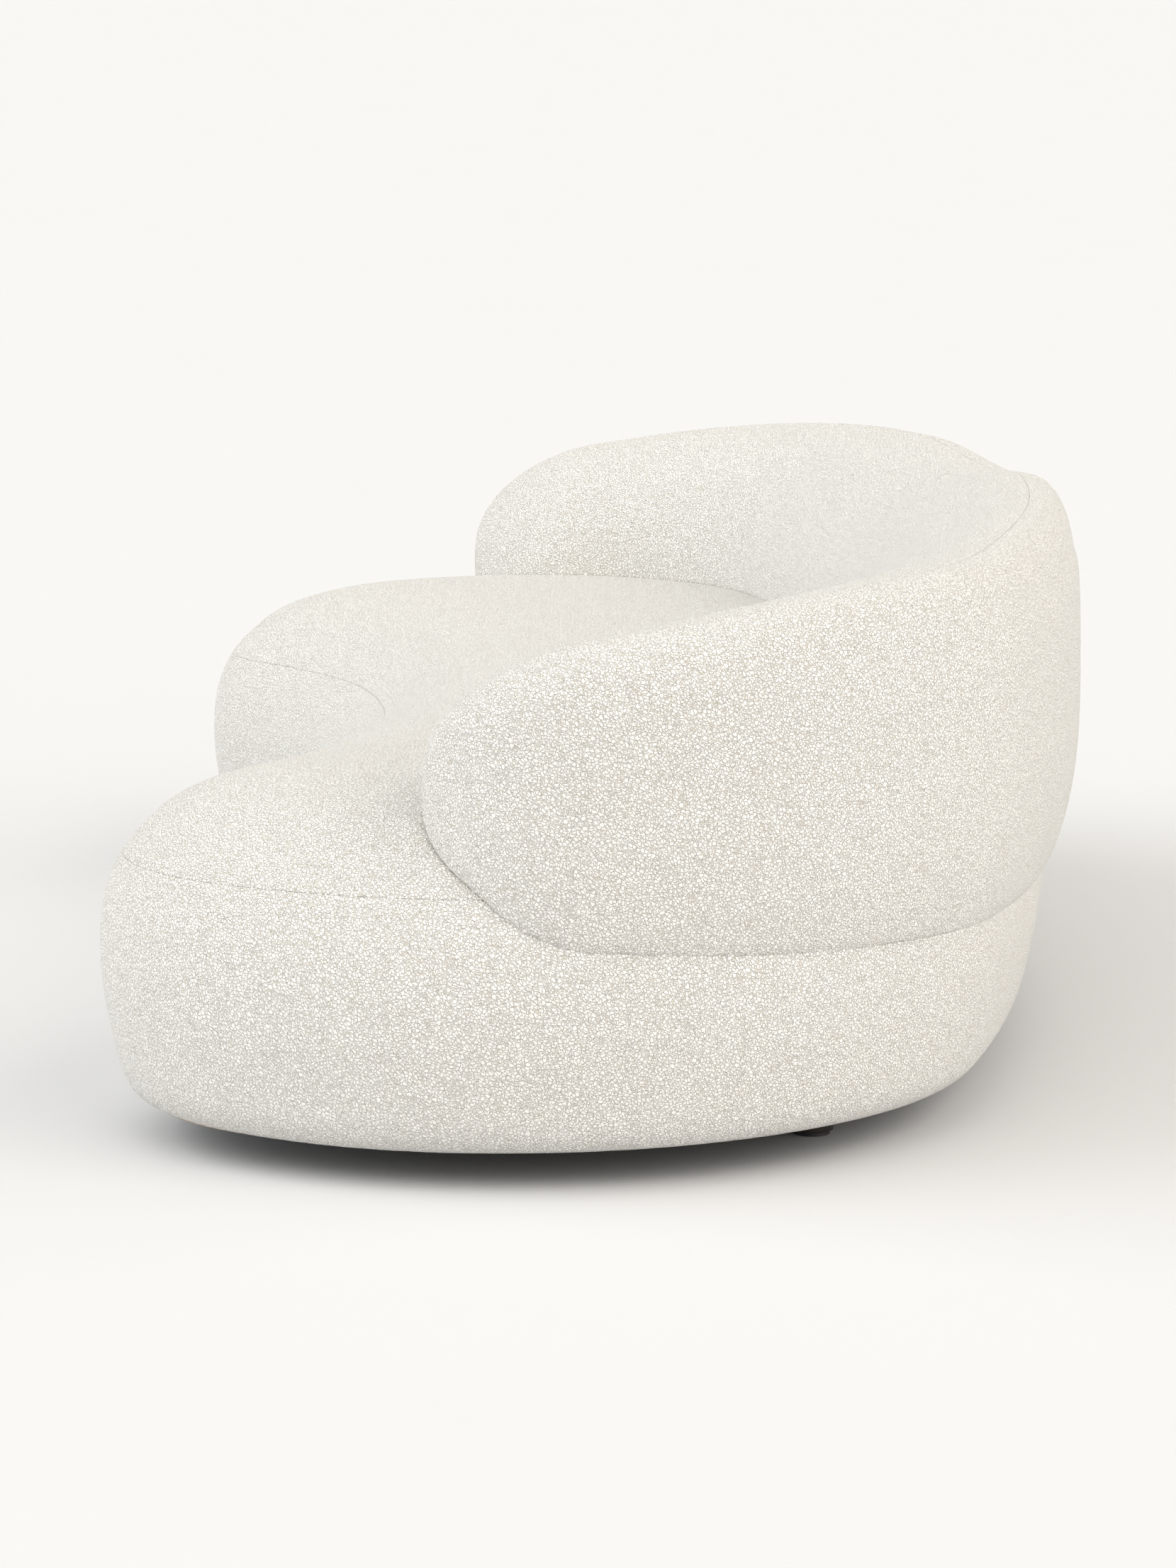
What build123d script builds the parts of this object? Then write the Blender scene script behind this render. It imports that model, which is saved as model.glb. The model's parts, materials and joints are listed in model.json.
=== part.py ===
from build123d import *
import os
from math import acos, asin, atan2, copysign, cos, degrees, pi, radians, sin, sqrt

# A kidney-shaped lounge sofa. X runs along its length, +Y points to the back, +Z is up.
# The origin is on the floor under the middle of the whole sofa. All sizes are millimetres.

# ---------------------------------------------------------------- driving dimensions
# plan of the seat unit: a kidney of tangent arcs, symmetric about X = 0
SEAT_HALF_LENGTH = 1175.0
SEAT_FRONT_Y = -571.5
SEAT_REAR_Y = 532.5
SEAT_WAIST_Y = -338.0
SEAT_END_RADIUS = 566.0
SEAT_LOBE_RADIUS = 308.0
SEAT_LOBE_ANGLE = -36.0

# edge of the seat unit: it bulges out to the kidney plan at SEAT_BULGE_Z
SEAT_BOTTOM_Z = 38.8
SEAT_BULGE_Z = 216.5
SEAT_TOP_Z = 414.7
SEAT_CROWN_REACH = 298.0
SEAT_SHOULDER_RADIUS = 180.0
SEAT_UNDERCUT_REACH = 70.0
SEAT_UNDERCUT_RADIUS = 48.0
SEAT_SEAM_Z = 328.0

# plan of the backrest's outer face: rear arc, corner arcs and arm arcs
BACK_HALF_LENGTH = 1195.0
BACK_REAR_Y = 571.5
BACK_REAR_RADIUS = 2734.0
BACK_CORNER_RADIUS = 562.0
BACK_ARM_RADIUS = 1040.0
BACK_ARM_ANGLE = 10.4
BACK_TIP_Y = -210.0

# section of the backrest
BACK_THICKNESS = 287.0
RIDGE_INSET = 64.0
RIDGE_Z = 645.0
RIDGE_DROP_REAR = 10.0
RIDGE_DROP_ARM = 86.0
BACK_BOTTOM_Z = 143.0
BACK_BOTTOM_RISE = 30.0
OUTER_BULGE_Z = 427.0
INNER_BULGE_Z = 362.0
OUTER_TOP_POWER = 3.6
INNER_TOP_POWER = 2.1
BACK_BOTTOM_POWER = 2.46
BOTTOM_RISE_START = 0.15
BOTTOM_RISE_LENGTH = 0.5
LOWEST_BULGE = 0.3
HIGHEST_OUTER_BULGE = 0.75
HIGHEST_INNER_BULGE = 0.7
TIP_Z = 420.0
TIP_TOP_POWER = 0.8
TIP_REACH_Z = 191.0
TIP_REACH_PLAN = 201.0
TIP_GAP = 1.0
EVEN_SECTIONS = 7
TIP_SECTIONS = 5

# layers, from the outside in
COVER = 3.0
WADDING = 8.0
CLEARANCE = 0.3
WADDING_INSET = COVER + CLEARANCE
FOAM_INSET = COVER + WADDING + CLEARANCE

# seat frame, measured inwards from the seat plan
FRAME_INSET = 60.0
PLY = 18.0
PANEL_Z = SEAT_BOTTOM_Z + COVER + 0.2
TOP_FRAME_Z = 272.0
TOP_FRAME_WIDTH = 90.0
BATTEN = 45.0
LINER = 3.0
LIP_INSET = 115.0
DUST_CLOTH = 1.0
DUST_CLOTH_INSET = 95.0
POST_GAP = 1.0
CROSS_RAIL_X = [-480, 480]

# sinuous springs and the felt over them
SPRING_COUNT = 7
SPRING_PITCH = 215.0
SPRING_WIRE = 3.8
SPRING_STEP = 34.0
SPRING_HALF_WIDTH = 24.0
SPRING_END_BAR = 14.0
SPRING_Z = TOP_FRAME_Z + PLY + 3.4
SPRING_ANCHOR_INSET = FRAME_INSET + 70.0
CLIP_PLATE = (34.0, 26.0, 1.2)
CLIP_LENGTH = 22.0
CLIP_SHEET = 1.2
CLIP_PLAY = 0.1
FELT_Z = 297.0
FELT = 4.0
FELT_INSET = 100.0
DECK_Z = FELT_Z + FELT

# backrest frame, measured inwards from the backrest's outer face
OUTER_PANEL_INSET = 30.0
SHEET = 5.0
RAIL_INSET = OUTER_PANEL_INSET + SHEET
RAIL_WIDTH = 95.0
INNER_PANEL_INSET = RAIL_INSET + RAIL_WIDTH
BOTTOM_RAIL_Z = 385.0
TOP_RAIL_Z = 527.0
SKIRT_Z = 290.0
FRAME_END_GAP = 160.0
BACK_POST_DISTANCES = [130, 700, 1240]
BACK_FOAM_CUT_X = 600.0

# feet
FOOT_TOP_Z = PANEL_Z - 4.5
FOOT_TOP_RADIUS = 27.0
FOOT_BOTTOM_RADIUS = 23.5
FOOT_ROUND = 3.0
GLIDE_HEIGHT = 4.0
GLIDE_RADIUS = 20.0
FOOT_PLACES = [(-840, 217), (-800, -290), (0, 400), (0, -205), (800, -290), (840, 217)]

# fasteners
BOLT_RADIUS = 4.0
BOLT_HEAD_RADIUS = 7.0
BOLT_HEAD_HEIGHT = 5.3
WASHER_RADIUS = 12.0
WASHER = 1.6
NUT_BARREL_RADIUS = 5.6
NUT_FLANGE_RADIUS = 11.0
NUT_FLANGE = 1.5
NUT_BARREL_LENGTH = 12.0
FOOT_BOLT_DEPTH = 22.0
SCREW_RADIUS = 2.5
SCREW_HEAD_RADIUS = 5.0
SCREW_LENGTH = 50.0
SPACER_BLOCK = 40.0
SPACER_INSET = 75.0


# ---------------------------------------------------------------- plan outlines
class Arc:
    """Part of a circle in plan. A hollow arc has the material outside its circle."""

    def __init__(self, centre, radius, start, end, hollow=False):
        self.centre = centre
        self.radius = radius
        self.start = start
        self.end = end
        self.hollow = hollow

    def reach(self, inset):
        """Distance from the centre to the line that lies inset inside the outline."""
        return self.radius + inset if self.hollow else self.radius - inset

    def point(self, inset, angle):
        reach = self.reach(inset)
        x, y = self.centre
        return (x + reach * cos(radians(angle)), y + reach * sin(radians(angle)))

    def edge(self, inset, start=None, end=None):
        start = self.start if start is None else start
        end = self.end if end is None else end
        middle = (start + end) / 2
        return ThreePointArc(self.point(inset, start), self.point(inset, middle), self.point(inset, end))

    def mirrored(self):
        x, y = self.centre
        return Arc((-x, y), self.radius, 180 - self.end, 180 - self.start, self.hollow)


def direction(start, end):
    return degrees(atan2(end[1] - start[1], end[0] - start[0]))


def radial_plane(arc, angle):
    """Vertical plane through an arc's centre: its x is the distance from it, its y is height."""
    turn = radians(angle)
    return Plane(origin=(*arc.centre, 0), x_dir=(cos(turn), sin(turn), 0), z_dir=(sin(turn), -cos(turn), 0))


def seat_arcs():
    """The kidney as tangent arcs, clockwise from the middle of the rear edge to the waist."""
    lobe_turn = radians(SEAT_LOBE_ANGLE)
    step = SEAT_END_RADIUS - SEAT_LOBE_RADIUS
    end_x = SEAT_HALF_LENGTH - SEAT_END_RADIUS
    lobe_x = end_x + step * cos(lobe_turn)
    lobe_y = SEAT_FRONT_Y + SEAT_LOBE_RADIUS
    end_y = lobe_y - step * sin(lobe_turn)
    rise = end_y - SEAT_REAR_Y
    rear_radius = (SEAT_END_RADIUS**2 - end_x**2 - rise**2) / (2 * (rise + SEAT_END_RADIUS))
    depth = lobe_y - SEAT_WAIST_Y
    waist_radius = (lobe_x**2 + depth**2 - SEAT_LOBE_RADIUS**2) / (2 * (SEAT_LOBE_RADIUS - depth))
    rear_centre = (0, SEAT_REAR_Y - rear_radius)
    end_centre = (end_x, end_y)
    lobe_centre = (lobe_x, lobe_y)
    waist_centre = (0, SEAT_WAIST_Y - waist_radius)
    rear_turn = direction(rear_centre, end_centre)
    waist_turn = direction(waist_centre, lobe_centre)
    rear = Arc(rear_centre, rear_radius, rear_turn, 180 - rear_turn)
    end = Arc(end_centre, SEAT_END_RADIUS, SEAT_LOBE_ANGLE, rear_turn)
    lobe = Arc(lobe_centre, SEAT_LOBE_RADIUS, waist_turn - 180, SEAT_LOBE_ANGLE)
    waist = Arc(waist_centre, waist_radius, waist_turn, 180 - waist_turn, hollow=True)
    return rear, end, lobe, waist


REAR, END, LOBE, WAIST = seat_arcs()
SEAT_LOOP = [REAR, END, LOBE, WAIST, LOBE.mirrored(), END.mirrored()]


def kidney(inset):
    """Flat face of the seat plan, drawn inset inside its outline."""
    return make_face(Wire([arc.edge(inset) for arc in SEAT_LOOP]))


def kidney_slab(inset, bottom, top):
    return Pos(0, 0, bottom) * extrude(kidney(inset), top - bottom)


def seat_edge_y(x, inset, front):
    """Y of the seat plan's front or rear edge at a given X."""
    near, far = (WAIST, LOBE) if front else (REAR, END)
    angle = near.start
    joint_x = near.point(inset, angle)[0]
    arc = near if abs(x) < joint_x else far
    side = 1 if (arc is WAIST or not front) else -1
    offset = abs(x) - arc.centre[0]
    return arc.centre[1] + side * sqrt(arc.reach(inset)**2 - offset**2)


# ---------------------------------------------------------------- seat body
def far_radius(near_reach, far_reach, near_radius):
    """Radius of the flat arc that joins a tighter one into a smooth quarter of an oval."""
    return (near_reach**2 + far_reach**2 - 2 * near_reach * near_radius) / (2 * (far_reach - near_radius))


def seat_profile(arc, inset):
    """Half section of the seat edge, drawn in the radial plane at the start of an arc."""
    crown_height = SEAT_TOP_Z - SEAT_BULGE_Z
    undercut_height = SEAT_BULGE_Z - SEAT_BOTTOM_Z
    crown_radius = far_radius(SEAT_CROWN_REACH, crown_height, SEAT_SHOULDER_RADIUS)
    side_radius = far_radius(undercut_height, SEAT_UNDERCUT_REACH, SEAT_UNDERCUT_RADIUS)
    crown_turn = atan2(crown_radius - crown_height, SEAT_CROWN_REACH - SEAT_SHOULDER_RADIUS)
    side_turn = atan2(undercut_height - SEAT_UNDERCUT_RADIUS, side_radius - SEAT_UNDERCUT_REACH)

    def profile_arc(centre, radius, start, end):
        turns = (start, (start + end) / 2, end)
        reach = radius - inset
        points = [(arc.reach(centre[0] - reach * cos(turn)), centre[1] + reach * sin(turn)) for turn in turns]
        return ThreePointArc(*points)

    crown = profile_arc((SEAT_CROWN_REACH, SEAT_TOP_Z - crown_radius), crown_radius, pi / 2, crown_turn)
    shoulder = profile_arc((SEAT_SHOULDER_RADIUS, SEAT_BULGE_Z), SEAT_SHOULDER_RADIUS, crown_turn, 0)
    side = profile_arc((side_radius, SEAT_BULGE_Z), side_radius, 0, -side_turn)
    undercut_centre = (SEAT_UNDERCUT_REACH, SEAT_BOTTOM_Z + SEAT_UNDERCUT_RADIUS)
    undercut = profile_arc(undercut_centre, SEAT_UNDERCUT_RADIUS, -side_turn, -pi / 2)
    inner_x = arc.reach(SEAT_CROWN_REACH)
    bottom_corner = (inner_x, SEAT_BOTTOM_Z + inset)
    closing = [Line(undercut @ 1, bottom_corner), Line(bottom_corner, crown @ 0)]
    return make_face(Wire([crown, shoulder, side, undercut] + closing))


def seat_body(inset):
    """The whole seat pebble, shrunk by inset on every side."""
    body = kidney_slab(SEAT_CROWN_REACH, SEAT_BOTTOM_Z + inset, SEAT_TOP_Z - inset)
    for arc in SEAT_LOOP:
        section = radial_plane(arc, arc.start) * seat_profile(arc, inset)
        body += revolve(section, Axis((*arc.centre, 0), (0, 0, 1)), arc.end - arc.start)
    return body


# ---------------------------------------------------------------- backrest path and body
def back_arcs():
    """Outer face of the backrest in plan, from the middle of the rear to the right arm's tip."""
    turn = radians(BACK_ARM_ANGLE)
    step = BACK_CORNER_RADIUS - BACK_ARM_RADIUS
    arm_x = BACK_HALF_LENGTH - BACK_ARM_RADIUS
    corner_x = arm_x - step * cos(turn)
    rear_y = BACK_REAR_Y - BACK_REAR_RADIUS
    corner_y = rear_y + sqrt((BACK_REAR_RADIUS - BACK_CORNER_RADIUS)**2 - corner_x**2)
    arm_y = corner_y + step * sin(turn)
    corner_turn = direction((0, rear_y), (corner_x, corner_y))
    tip_turn = degrees(asin((BACK_TIP_Y - arm_y) / BACK_ARM_RADIUS))
    rear = Arc((0, rear_y), BACK_REAR_RADIUS, corner_turn, 90)
    corner = Arc((corner_x, corner_y), BACK_CORNER_RADIUS, BACK_ARM_ANGLE, corner_turn)
    arm = Arc((arm_x, arm_y), BACK_ARM_RADIUS, tip_turn, BACK_ARM_ANGLE)
    return [rear, corner, arm]


BACK_ARCS = back_arcs()
BACK_LENGTHS = [arc.radius * radians(arc.end - arc.start) for arc in BACK_ARCS]
BACK_LENGTH = sum(BACK_LENGTHS)


def back_place(distance):
    """Arc and angle at a distance along the outer face, measured from the middle of the rear."""
    for arc, length in zip(BACK_ARCS, BACK_LENGTHS):
        if distance <= length or arc is BACK_ARCS[-1]:
            return arc, arc.end - degrees(distance / arc.radius)
        distance -= length


def quarter(centre, reach_x, reach_z, power, steps=4):
    """Points of a superellipse quarter, from its side point to its top or bottom point."""
    points = []
    for step in range(steps + 1):
        turn = pi / 2 * step / steps
        along = round(cos(turn), 9)**(2 / power)
        up = sin(turn)**(2 / power)
        points.append((centre[0] + reach_x * along, centre[1] + reach_z * up))
    return points


def rounding(gap, reach):
    """Share of the full size that is left at a gap from the rounded tip."""
    return sqrt(max(0, 1 - max(0, 1 - gap / reach)**2))


def back_section(distance, inset):
    """The backrest's section as four smooth quarters, each a list of (inset from face, z).

    They run from the sole up the outer face to the ridge and down the inner face to the sole.
    """
    gap = BACK_LENGTH - distance
    share_z = rounding(gap, TIP_REACH_Z)
    share_plan = rounding(gap, TIP_REACH_PLAN)
    rear = BACK_LENGTHS[0]
    if distance < rear:
        ridge = RIDGE_Z - RIDGE_DROP_REAR * (distance / rear)**2
    else:
        ridge = RIDGE_Z - RIDGE_DROP_REAR - RIDGE_DROP_ARM * ((distance - rear) / (BACK_LENGTH - rear))**2
    rise = min(1, max(0, (distance / BACK_LENGTH - BOTTOM_RISE_START) / BOTTOM_RISE_LENGTH))
    top = TIP_Z + (ridge - TIP_Z) * share_z**TIP_TOP_POWER - inset
    bottom = TIP_Z - (TIP_Z - BACK_BOTTOM_Z - BACK_BOTTOM_RISE * rise) * share_z + inset
    span = top - bottom
    lowest = bottom + LOWEST_BULGE * span
    outer_z = min(max(OUTER_BULGE_Z, lowest), bottom + HIGHEST_OUTER_BULGE * span)
    inner_z = min(max(INNER_BULGE_Z, lowest), bottom + HIGHEST_INNER_BULGE * span)
    middle = BACK_THICKNESS / 2
    half = middle * share_plan - inset
    ridge_x = middle - (middle - RIDGE_INSET) * half / middle
    outer_x, inner_x = middle - half, middle + half
    outer_low = quarter((middle, outer_z), -half, bottom - outer_z, BACK_BOTTOM_POWER)[::-1]
    outer_top = quarter((ridge_x, outer_z), outer_x - ridge_x, top - outer_z, OUTER_TOP_POWER)
    inner_top = quarter((ridge_x, inner_z), inner_x - ridge_x, top - inner_z, INNER_TOP_POWER)[::-1]
    inner_low = quarter((middle, inner_z), half, bottom - inner_z, BACK_BOTTOM_POWER)
    return outer_low, outer_top, inner_top, inner_low


def back_plane(distance, sign):
    """Vertical plane square to the outer face, and the radius of the face there."""
    arc, angle = back_place(distance)
    if sign < 0:
        arc, angle = arc.mirrored(), 180 - angle
    return radial_plane(arc, angle), arc.radius


OUT, UP, IN, DOWN = (1, 0), (0, 1), (-1, 0), (0, -1)


def section_splines(distance, inset, radius):
    """The four quarters of a section as splines in its radial plane, in back_section's order."""
    tangents = [(OUT, UP), (UP, IN), (IN, DOWN), (DOWN, OUT)]
    quarters = back_section(distance, inset)
    curves = [[(radius - depth, z) for depth, z in points] for points in quarters]
    return [Spline(*points, tangents=pair) for points, pair in zip(curves, tangents)]


def whole_wire(distance, inset, sign):
    plane, radius = back_plane(distance, sign)
    return plane * Wire(section_splines(distance, inset, radius))


def strip_wire(distance, first, sign):
    """Section of one cover panel: quarters first and first + 1, between the skin and the wadding."""
    plane, radius = back_plane(distance, sign)
    skin = section_splines(distance, 0, radius)[first:first + 2]
    lining = section_splines(distance, COVER, radius)[first:first + 2]
    edges = skin + [Line(skin[1] @ 1, lining[1] @ 1)] + lining[::-1] + [Line(lining[0] @ 0, skin[0] @ 0)]
    return plane * Wire(edges)


def back_stations(end_gap):
    """Distances of the sections along one half, closer together where the tip rounds off."""
    straight = BACK_LENGTH - TIP_REACH_PLAN
    reach = TIP_REACH_PLAN - end_gap
    even = [straight * step / EVEN_SECTIONS for step in range(EVEN_SECTIONS)]
    return even + [straight + reach * sin(pi / 2 * step / TIP_SECTIONS) for step in range(TIP_SECTIONS + 1)]


def back_loft(draw, end_gap):
    """Solid through the sections that draw(distance, sign) gives, from the left tip to the right."""
    stations = back_stations(end_gap)
    left = [draw(distance, -1) for distance in stations[:0:-1]]
    right = [draw(distance, 1) for distance in stations]
    return Part() + Solid.make_loft(left + right)


def back_body(inset):
    """The whole backrest, shrunk by inset on every side."""
    def draw(distance, sign):
        return whole_wire(distance, inset, sign)

    return back_loft(draw, TIP_GAP + inset)


def back_panel(first):
    """A cover panel of the backrest: the outer one starts at quarter 0, the inner one at 2."""
    def draw(distance, sign):
        return strip_wire(distance, first, sign)

    return back_loft(draw, TIP_GAP + COVER)


def tip_disc(sign):
    """The cover's blunt end, which closes the tube of the two panels at one arm's tip."""
    gaps = [TIP_GAP + COVER, TIP_GAP]
    wires = [whole_wire(BACK_LENGTH - gap, 0, sign) for gap in gaps]
    return Part() + Solid.make_loft(wires)


def back_band(near, far, bottom, top, end_gap):
    """Upright band that follows the outer face between two insets, and stops short of the tips."""
    last = BACK_ARCS[-1]
    stop = last.start + degrees(end_gap / last.radius)
    right_half = [Arc(last.centre, last.radius, stop, last.end)] + BACK_ARCS[1::-1]
    left_half = [arc.mirrored() for arc in right_half[::-1]]
    edges = []
    for inset in (near, far):
        edges += [arc.edge(inset) for arc in right_half + left_half]
    for arc, angle in ((right_half[0], stop), (left_half[-1], 180 - stop)):
        edges.append(Line(arc.point(near, angle), arc.point(far, angle)))
    return Pos(0, 0, bottom) * extrude(make_face(Wire(edges)), top - bottom)


# ---------------------------------------------------------------- shared helpers
SPACE = 4000.0
PANEL_TOP = PANEL_Z + PLY
RING_TOP = TOP_FRAME_Z + PLY
BOTTOM_RAIL_TOP = BOTTOM_RAIL_Z + PLY
SEAT_CLEAR = seat_body(-CLEARANCE)
FRAME_BOX = kidney_slab(FRAME_INSET - LINER, PANEL_Z, DECK_Z)


def space_between(bottom, top):
    return Pos(0, 0, (bottom + top) / 2) * Box(SPACE, SPACE, top - bottom)


def upright(x, y, radius, bottom, top):
    return Pos(x, y, (bottom + top) / 2) * Cylinder(radius, top - bottom)


def kidney_ring(inset, width, bottom, top):
    return kidney_slab(inset, bottom, top) - kidney_slab(inset + width, bottom, top)


def both_sides(places):
    """(arc, angle) places on the right half, and then their mirror images."""
    return places + [(arc.mirrored(), 180 - angle) for arc, angle in places[::-1]]


def angle_at(arc, x, inset):
    """Angle at which an arc of the rear or waist, drawn at an inset, has a given X."""
    return degrees(acos(x / arc.reach(inset)))


def block_at(arc, angle, inset, depth, width, bottom, top):
    """Upright block square to an arc, with its outer side at an inset from the outline."""
    x, y = arc.point(inset + depth / 2, angle)
    return Pos(x, y, (bottom + top) / 2) * Rot(0, 0, angle) * Box(depth, width, top - bottom)


def without(body, fasteners):
    """A wooden piece with the holes that its fasteners fill."""
    for fastener in fasteners:
        body -= fastener
    return body


POST_PLACES = both_sides([
    (REAR, angle_at(REAR, 200, FRAME_INSET)),
    (END, 62),
    (END, -12),
    (LOBE, -95),
    (WAIST, angle_at(WAIST, 240, FRAME_INSET)),
])
SPACER_PLACES = both_sides([
    (REAR, angle_at(REAR, 330, SPACER_INSET)),
    (END, 48),
    (END, 8),
])
BOLT_PLACES = [arc.point(SPACER_INSET, angle) for arc, angle in SPACER_PLACES]


# ---------------------------------------------------------------- fasteners
def wood_screw(x, y, head_z, aim):
    """Countersunk screw with its head flush at head_z; aim is -1 for down and 1 for up."""
    neck = SCREW_HEAD_RADIUS - SCREW_RADIUS
    outline = Polyline(
        (0, 0),
        (SCREW_HEAD_RADIUS, 0),
        (SCREW_RADIUS, neck),
        (SCREW_RADIUS, SCREW_LENGTH - neck),
        (0, SCREW_LENGTH),
        close=True,
    )
    body = revolve(Plane.XZ * make_face(outline), Axis.Z)
    return Pos(x, y, head_z) * (body if aim > 0 else Rot(180, 0, 0) * body)


def base_frame_screws():
    screws = []
    for arc, angle in POST_PLACES:
        x, y = arc.point(FRAME_INSET + POST_GAP + BATTEN / 2, angle)
        screws.append(wood_screw(x, y, RING_TOP, -1))
        screws.append(wood_screw(x, y, PANEL_Z, 1))
    return screws


def tee_nut(x, y, seat_z):
    """Tee nut pressed in from above: its flange lies on the wood at seat_z."""
    body = upright(x, y, NUT_BARREL_RADIUS, seat_z - NUT_BARREL_LENGTH, seat_z)
    body += upright(x, y, NUT_FLANGE_RADIUS, seat_z, seat_z + NUT_FLANGE)
    return body - upright(x, y, BOLT_RADIUS, seat_z - NUT_BARREL_LENGTH, seat_z + NUT_FLANGE)


def foot_bolt(x, y):
    return upright(x, y, BOLT_RADIUS, FOOT_TOP_Z - FOOT_BOLT_DEPTH, PANEL_TOP + NUT_FLANGE)


def back_bolt(x, y):
    """Hexagon bolt and washer from under the seat's top frame up into the backrest."""
    washer_z = TOP_FRAME_Z - WASHER
    head_z = washer_z - BOLT_HEAD_HEIGHT
    head = Pos(x, y, head_z) * extrude(RegularPolygon(BOLT_HEAD_RADIUS, 6), BOLT_HEAD_HEIGHT)
    washer = upright(x, y, WASHER_RADIUS, washer_z, TOP_FRAME_Z)
    return head + washer + upright(x, y, BOLT_RADIUS, washer_z, BOTTOM_RAIL_TOP + NUT_FLANGE)


FRAME_SCREWS = base_frame_screws()
FOOT_NUTS = [tee_nut(x, y, PANEL_TOP) for x, y in FOOT_PLACES]
FOOT_BOLTS = [foot_bolt(x, y) for x, y in FOOT_PLACES]
BACK_NUTS = [tee_nut(x, y, BOTTOM_RAIL_TOP) for x, y in BOLT_PLACES]
BACK_BOLTS = [back_bolt(x, y) for x, y in BOLT_PLACES]


# ---------------------------------------------------------------- seat frame and springs
def base_bottom_panel():
    panel = kidney_slab(FRAME_INSET, PANEL_Z, PANEL_TOP)
    return without(panel, FOOT_NUTS + FOOT_BOLTS + FRAME_SCREWS)


def base_top_frame():
    ring = kidney_ring(FRAME_INSET, TOP_FRAME_WIDTH, TOP_FRAME_Z, RING_TOP)
    return without(ring, BACK_BOLTS + FRAME_SCREWS)


def base_post(arc, angle):
    post = block_at(arc, angle, FRAME_INSET + POST_GAP, BATTEN, BATTEN, PANEL_TOP, TOP_FRAME_Z)
    return without(post, FRAME_SCREWS)


def base_cross_rail(x):
    front = seat_edge_y(x, FRAME_INSET, front=True)
    rear = seat_edge_y(x, FRAME_INSET, front=False)
    bottom = TOP_FRAME_Z - BATTEN
    rail = Pos(x, (front + rear) / 2, bottom + BATTEN / 2) * Box(BATTEN, rear - front + BATTEN, BATTEN)
    return rail & kidney_slab(FRAME_INSET + POST_GAP, bottom, TOP_FRAME_Z)


def base_side_liner():
    return kidney_ring(FRAME_INSET - LINER, LINER, PANEL_Z, RING_TOP)


def spring_ends(x):
    front = seat_edge_y(x, SPRING_ANCHOR_INSET, front=True)
    rear = seat_edge_y(x, SPRING_ANCHOR_INSET, front=False)
    return front, rear


def seat_spring(x):
    """Sinuous spring: wire that zigzags from the front of the top frame to its rear."""
    front, rear = spring_ends(x)
    bays = round((rear - front) / SPRING_STEP)
    step = (rear - front) / bays
    side = SPRING_HALF_WIDTH
    points = [(x - SPRING_END_BAR, front, SPRING_Z), (x + side, front, SPRING_Z)]
    for bay in range(1, bays):
        y = front + bay * step
        points += [(x + side, y, SPRING_Z), (x - side, y, SPRING_Z)]
        side = -side
    points += [(x + side, rear, SPRING_Z), (x - copysign(SPRING_END_BAR, side), rear, SPRING_Z)]
    path = FilletPolyline(*points, radius=step / 2 - 1)
    section = Plane(origin=path @ 0, z_dir=path % 0) * Circle(SPRING_WIRE / 2)
    return sweep(section, path)


def spring_clip(x, y):
    """Steel clip: a plate on the frame and a half tube over the spring's end bar."""
    length, width, sheet = CLIP_PLATE
    plate = Pos(x, y, RING_TOP + sheet / 2) * Box(length, width, sheet)
    inner = SPRING_WIRE / 2 + CLIP_PLAY
    section = Circle(inner + CLIP_SHEET) - Circle(inner)
    section -= Pos(0, -inner - CLIP_SHEET) * Rectangle(4 * inner, 2 * (inner + CLIP_SHEET))
    hood = extrude(Plane.YZ * section, CLIP_LENGTH / 2, both=True)
    leg_height = SPRING_Z - RING_TOP - sheet
    leg_y = inner + CLIP_SHEET / 2
    legs = [Pos(0, sign * leg_y, -leg_height / 2) * Box(CLIP_LENGTH, CLIP_SHEET, leg_height) for sign in (-1, 1)]
    return plate + Pos(x, y, SPRING_Z) * (hood + legs)


SPRING_X = [SPRING_PITCH * (index - (SPRING_COUNT - 1) / 2) for index in range(SPRING_COUNT)]


def spring_clips():
    return [spring_clip(x, y) for x in SPRING_X for y in spring_ends(x)]


# ---------------------------------------------------------------- seat upholstery
SPACER_HOLES = [
    block_at(arc, angle, SPACER_INSET - SPACER_BLOCK / 2, SPACER_BLOCK, SPACER_BLOCK, RING_TOP, BOTTOM_RAIL_Z)
    for arc, angle in SPACER_PLACES
]


def seat_shell(outer, inner):
    shell = seat_body(outer) - seat_body(inner)
    return without(shell, SPACER_HOLES)


def seat_foam():
    foam = seat_body(FOAM_INSET) & space_between(DECK_Z, SEAT_TOP_Z)
    return without(foam, SPACER_HOLES)


def side_foam():
    foam = seat_body(FOAM_INSET) & space_between(0, DECK_Z)
    return without(foam - FRAME_BOX, SPACER_HOLES)


def seat_wadding():
    return seat_shell(WADDING_INSET, FOAM_INSET - CLEARANCE) - FRAME_BOX


def seat_cover_top():
    return seat_shell(0, COVER) & space_between(SEAT_SEAM_Z, SEAT_TOP_Z + COVER)


def seat_cover_band():
    band = seat_shell(0, COVER) & space_between(0, SEAT_SEAM_Z)
    return band - kidney_slab(LIP_INSET, 0, PANEL_Z)


def dust_cover():
    bottom = FOOT_TOP_Z
    cloth = kidney_slab(DUST_CLOTH_INSET, bottom, bottom + DUST_CLOTH)
    return without(cloth, FOOT_BOLTS)


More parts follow.
